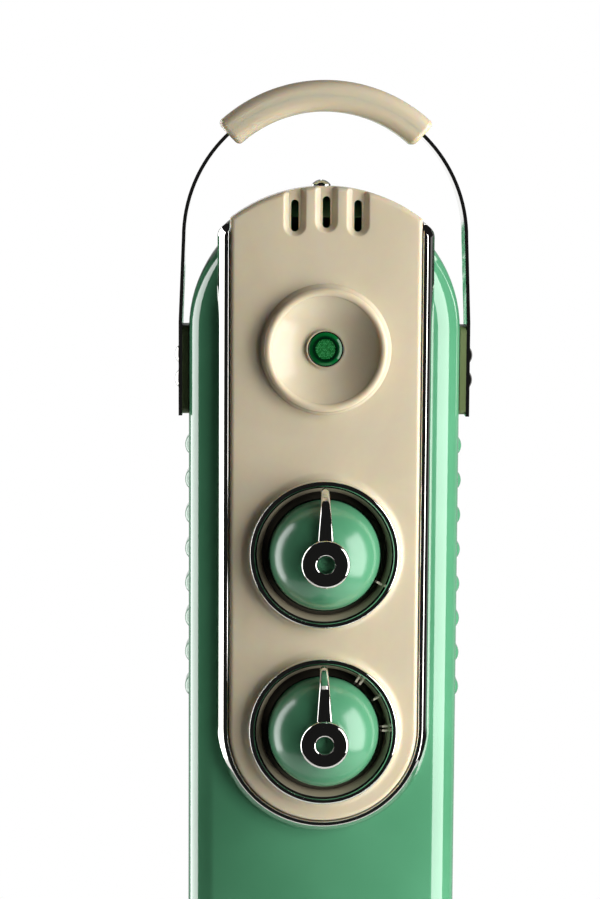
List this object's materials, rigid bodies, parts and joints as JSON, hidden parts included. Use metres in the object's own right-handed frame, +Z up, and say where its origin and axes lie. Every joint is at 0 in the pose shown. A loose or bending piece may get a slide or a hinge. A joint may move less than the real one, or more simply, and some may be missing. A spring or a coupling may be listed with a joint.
{
  "type": "oil-filled radiator",
  "caption": "Finned oil-filled room heater with an arched control box, pilot lamp, two domed dials, strap handle and swivel castors.",
  "frame": {"origin": "on the floor, under the middle of the bounding box", "axes": "+Z up, the control panel faces -Y, +X to the right seen from the front"},
  "size_m": [0.24, 0.397, 0.6504],
  "materials": {
    "green_enamel": "gloss",
    "green_plastic": "gloss",
    "green_lens": "gloss",
    "cream_plastic": "satin",
    "chrome_plate": "polished",
    "zinc_steel": "zinc plated",
    "heater_steel": "plain",
    "black_plastic": "moulded",
    "black_rubber": "matt",
    "dark_enamel": "gloss"
  },
  "bodies": {
    "radiator": {"back_plate": "green_enamel", "case_screws": "chrome_plate", "castor_stems": "zinc_steel", "control_panel": "cream_plastic", "cord_gland": "black_plastic", "fin_1": "green_enamel", "fin_2": "green_enamel", "fin_3": "green_enamel", "fin_4": "green_enamel", "fin_5": "green_enamel", "fin_6": "green_enamel", "fin_7": "green_enamel", "front_cover": "green_enamel", "front_foot": "dark_enamel", "handle_grip_lower": "cream_plastic", "handle_grip_upper": "cream_plastic", "handle_nuts": "zinc_steel", "handle_pads": "cream_plastic", "handle_screws": "chrome_plate", "handle_strap": "chrome_plate", "header_stud": "zinc_steel", "heater_flange": "zinc_steel", "heater_gasket": "black_rubber", "heater_terminals": "heater_steel", "heater_tubes": "heater_steel", "lamp_bezel": "chrome_plate", "lamp_holder": "black_plastic", "lamp_lens": "green_lens", "panel_trim": "chrome_plate", "rear_foot": "dark_enamel", "rear_header_caps": "green_enamel", "selector_bezel": "chrome_plate", "selector_body": "black_plastic", "selector_dial_plate": "chrome_plate", "stud_nut": "zinc_steel", "thermal_cutout": "heater_steel", "thermostat_bezel": "chrome_plate", "thermostat_body": "black_plastic", "thermostat_dial_plate": "chrome_plate", "u_bolts": "zinc_steel", "wing_nuts": "zinc_steel", "wiring_leads": "black_rubber"},
    "thermostat_dial": {"thermostat_knob": "green_plastic", "thermostat_pointer": "chrome_plate", "thermostat_shaft": "zinc_steel"},
    "selector_dial": {"selector_knob": "green_plastic", "selector_pointer": "chrome_plate", "selector_shaft": "zinc_steel"},
    "castor_front_left": {"castor_fork_front_left": "black_plastic", "castor_axle_front_left": "zinc_steel"},
    "wheel_front_left": {"castor_wheel_front_left": "black_rubber"},
    "castor_front_right": {"castor_fork_front_right": "black_plastic", "castor_axle_front_right": "zinc_steel"},
    "wheel_front_right": {"castor_wheel_front_right": "black_rubber"},
    "castor_rear_left": {"castor_fork_rear_left": "black_plastic", "castor_axle_rear_left": "zinc_steel"},
    "wheel_rear_left": {"castor_wheel_rear_left": "black_rubber"},
    "castor_rear_right": {"castor_fork_rear_right": "black_plastic", "castor_axle_rear_right": "zinc_steel"},
    "wheel_rear_right": {"castor_wheel_rear_right": "black_rubber"}
  },
  "joints": [
    {"name": "thermostat_turn", "type": "hinge", "parent": "radiator", "child": "thermostat_dial", "pos_m": [0, -0.1575, 0.388], "axis": [0, 1, 0], "range_deg": [0, 120]},
    {"name": "selector_turn", "type": "hinge", "parent": "radiator", "child": "selector_dial", "pos_m": [0, -0.1575, 0.288], "axis": [0, 1, 0], "range_deg": [0, 90]},
    {"name": "castor_swivel_front_left", "type": "hinge", "parent": "radiator", "child": "castor_front_left", "pos_m": [-0.105, -0.0455, 0.042], "axis": [0, 0, 1], "continuous": true},
    {"name": "wheel_roll_front_left", "type": "hinge", "parent": "castor_front_left", "child": "wheel_front_left", "pos_m": [-0.105, -0.0305, 0.018], "axis": [1, 0, 0], "continuous": true},
    {"name": "castor_swivel_front_right", "type": "hinge", "parent": "radiator", "child": "castor_front_right", "pos_m": [0.105, -0.0455, 0.042], "axis": [0, 0, 1], "continuous": true},
    {"name": "wheel_roll_front_right", "type": "hinge", "parent": "castor_front_right", "child": "wheel_front_right", "pos_m": [0.105, -0.0305, 0.018], "axis": [1, 0, 0], "continuous": true},
    {"name": "castor_swivel_rear_left", "type": "hinge", "parent": "radiator", "child": "castor_rear_left", "pos_m": [-0.105, 0.1545, 0.042], "axis": [0, 0, 1], "continuous": true},
    {"name": "wheel_roll_rear_left", "type": "hinge", "parent": "castor_rear_left", "child": "wheel_rear_left", "pos_m": [-0.105, 0.1695, 0.018], "axis": [1, 0, 0], "continuous": true},
    {"name": "castor_swivel_rear_right", "type": "hinge", "parent": "radiator", "child": "castor_rear_right", "pos_m": [0.105, 0.1545, 0.042], "axis": [0, 0, 1], "continuous": true},
    {"name": "wheel_roll_rear_right", "type": "hinge", "parent": "castor_rear_right", "child": "wheel_rear_right", "pos_m": [0.105, 0.1695, 0.018], "axis": [1, 0, 0], "continuous": true}
  ]
}
